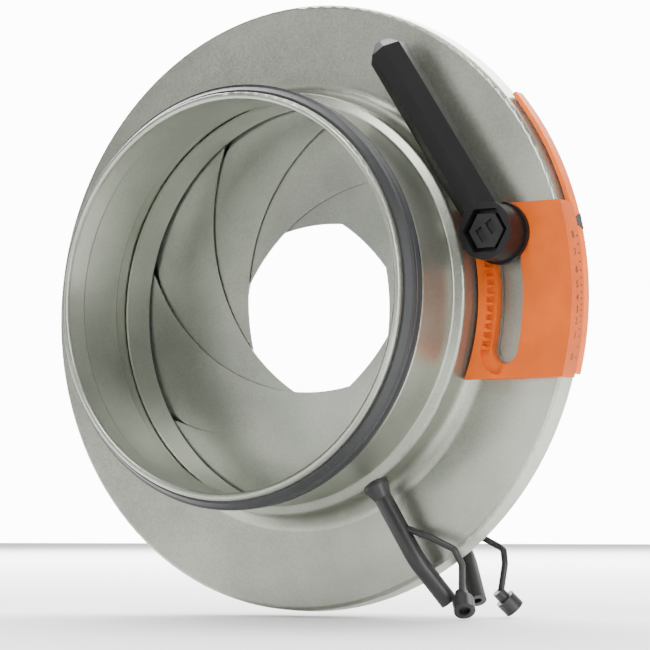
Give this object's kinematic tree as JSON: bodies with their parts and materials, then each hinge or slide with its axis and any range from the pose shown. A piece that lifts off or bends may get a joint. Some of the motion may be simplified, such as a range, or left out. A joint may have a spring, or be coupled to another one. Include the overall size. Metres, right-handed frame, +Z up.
{
  "type": "iris_volume_control_damper",
  "caption": "Round iris damper for ventilation duct: sheet-steel casing with sealed spigots, pivoting blades turned by a drive ring, clamp lever in a curved scale slot, capped measuring tubes.",
  "frame": {"origin": "On the duct axis, in the plane where the duct's end stops against the front spigot's step.", "axes": "+Y runs along the duct axis from the front spigot to the rear one, +Z is up, and +X is the side with the scale and the lever."},
  "size_m": [0.1915, 0.0996, 0.1899],
  "materials": {
    "galvanised_sheet": "galvanised, satin with fine spangle",
    "iris_sheet": "galvanised, satin",
    "blade_sheet": "galvanised, smooth",
    "plated_steel": "zinc plated",
    "seal_rubber": "EPDM, matte",
    "tube_rubber": "matte",
    "black_plastic": "satin moulding",
    "orange_plastic": "satin moulding",
    "bearing_plastic": "satin moulding"
  },
  "bodies": {
    "casing": {"front_housing": "galvanised_sheet", "rear_housing": "galvanised_sheet", "front_gasket": "seal_rubber", "rear_gasket": "seal_rubber", "carrier_ring": "iris_sheet", "carrier_spacers": "plated_steel", "slide_ring": "bearing_plastic", "scale_bracket": "orange_plastic", "front_measuring_tube": "tube_rubber", "rear_measuring_tube": "tube_rubber", "front_tube_cap": "tube_rubber", "rear_tube_cap": "tube_rubber"},
    "control_ring": {"drive_ring": "iris_sheet", "clamp_stud": "plated_steel", "indicator_band": "orange_plastic", "pointer": "black_plastic"},
    "handle": {"lever": "black_plastic", "lock_nut": "black_plastic"},
    "iris_blade_1": {"blade_1": "blade_sheet", "blade_pins_1": "plated_steel"},
    "iris_blade_2": {"blade_2": "blade_sheet", "blade_pins_2": "plated_steel"},
    "iris_blade_3": {"blade_3": "blade_sheet", "blade_pins_3": "plated_steel"},
    "iris_blade_4": {"blade_4": "blade_sheet", "blade_pins_4": "plated_steel"},
    "iris_blade_5": {"blade_5": "blade_sheet", "blade_pins_5": "plated_steel"},
    "iris_blade_6": {"blade_6": "blade_sheet", "blade_pins_6": "plated_steel"},
    "iris_blade_7": {"blade_7": "blade_sheet", "blade_pins_7": "plated_steel"},
    "iris_blade_8": {"blade_8": "blade_sheet", "blade_pins_8": "plated_steel"}
  },
  "joints": [
    {"name": "ring_turn", "type": "hinge", "parent": "casing", "child": "control_ring", "pos_m": [0, 0.02, 0], "axis": [0, 1, 0], "range_deg": [0, 25.5]},
    {"name": "blade_1_turn", "type": "hinge", "parent": "casing", "child": "iris_blade_1", "pos_m": [-0.04925, 0.0204, 0.06304], "axis": [0, 1, 0], "range_deg": [0, 27]},
    {"name": "blade_2_turn", "type": "hinge", "parent": "casing", "child": "iris_blade_2", "pos_m": [-0.0794, 0.0204, 0.00975], "axis": [0, 1, 0], "range_deg": [0, 27]},
    {"name": "blade_3_turn", "type": "hinge", "parent": "casing", "child": "iris_blade_3", "pos_m": [-0.06304, 0.0204, -0.04925], "axis": [0, 1, 0], "range_deg": [0, 27]},
    {"name": "blade_4_turn", "type": "hinge", "parent": "casing", "child": "iris_blade_4", "pos_m": [-0.00975, 0.0204, -0.0794], "axis": [0, 1, 0], "range_deg": [0, 27]},
    {"name": "blade_5_turn", "type": "hinge", "parent": "casing", "child": "iris_blade_5", "pos_m": [0.04925, 0.0204, -0.06304], "axis": [0, 1, 0], "range_deg": [0, 27]},
    {"name": "blade_6_turn", "type": "hinge", "parent": "casing", "child": "iris_blade_6", "pos_m": [0.0794, 0.0204, -0.00975], "axis": [0, 1, 0], "range_deg": [0, 27]},
    {"name": "blade_7_turn", "type": "hinge", "parent": "casing", "child": "iris_blade_7", "pos_m": [0.06304, 0.0204, 0.04925], "axis": [0, 1, 0], "range_deg": [0, 27]},
    {"name": "blade_8_turn", "type": "hinge", "parent": "casing", "child": "iris_blade_8", "pos_m": [0.00975, 0.0204, 0.0794], "axis": [0, 1, 0], "range_deg": [0, 27]},
    {"name": "lever_turn", "type": "hinge", "parent": "control_ring", "child": "handle", "pos_m": [0.07419, 0, 0.0174], "axis": [0, 1, 0], "range_deg": [0, 60]}
  ],
  "couplings": [
    {"joint": "blade_1_turn", "follows": "ring_turn", "ratio": 1.0567},
    {"joint": "blade_2_turn", "follows": "ring_turn", "ratio": 1.0567},
    {"joint": "blade_3_turn", "follows": "ring_turn", "ratio": 1.0567},
    {"joint": "blade_4_turn", "follows": "ring_turn", "ratio": 1.0567},
    {"joint": "blade_5_turn", "follows": "ring_turn", "ratio": 1.0567},
    {"joint": "blade_6_turn", "follows": "ring_turn", "ratio": 1.0567},
    {"joint": "blade_7_turn", "follows": "ring_turn", "ratio": 1.0567},
    {"joint": "blade_8_turn", "follows": "ring_turn", "ratio": 1.0567}
  ]
}
